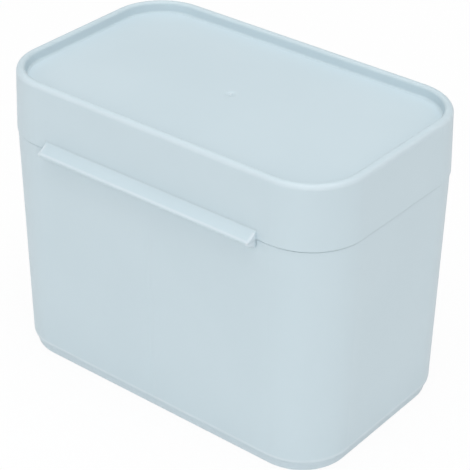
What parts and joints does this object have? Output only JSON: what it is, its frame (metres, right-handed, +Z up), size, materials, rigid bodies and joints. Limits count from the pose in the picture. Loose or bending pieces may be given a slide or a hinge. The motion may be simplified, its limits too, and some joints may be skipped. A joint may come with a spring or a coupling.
{
  "type": "desktop storage box",
  "caption": "Rounded rectangular desktop storage box with a fixed inner partition, an inset foot and a rear-hinged lid with a raised rim, a sunk top and a finger lip.",
  "frame": {"origin": "plan centre of the box, on the plane that its foot ring stands on", "axes": "+X along the long side to the right, -Y towards the front with the finger lip, +Z up"},
  "size_m": [0.166, 0.1122, 0.13],
  "materials": {
    "body_plastic": "satin moulded polypropylene, pale blue",
    "lid_plastic": "satin moulded polypropylene, pale blue",
    "pin_steel": "drawn stainless steel wire"
  },
  "bodies": {
    "box": {"body": "body_plastic", "hinge_pin_left": "pin_steel", "hinge_pin_right": "pin_steel"},
    "lid": {"lid": "lid_plastic"}
  },
  "joints": [
    {"name": "lid_hinge", "type": "hinge", "parent": "box", "child": "lid", "pos_m": [0, 0.05349, 0.10295], "axis": [-1, 0, 0], "range_deg": [0, 100]}
  ]
}
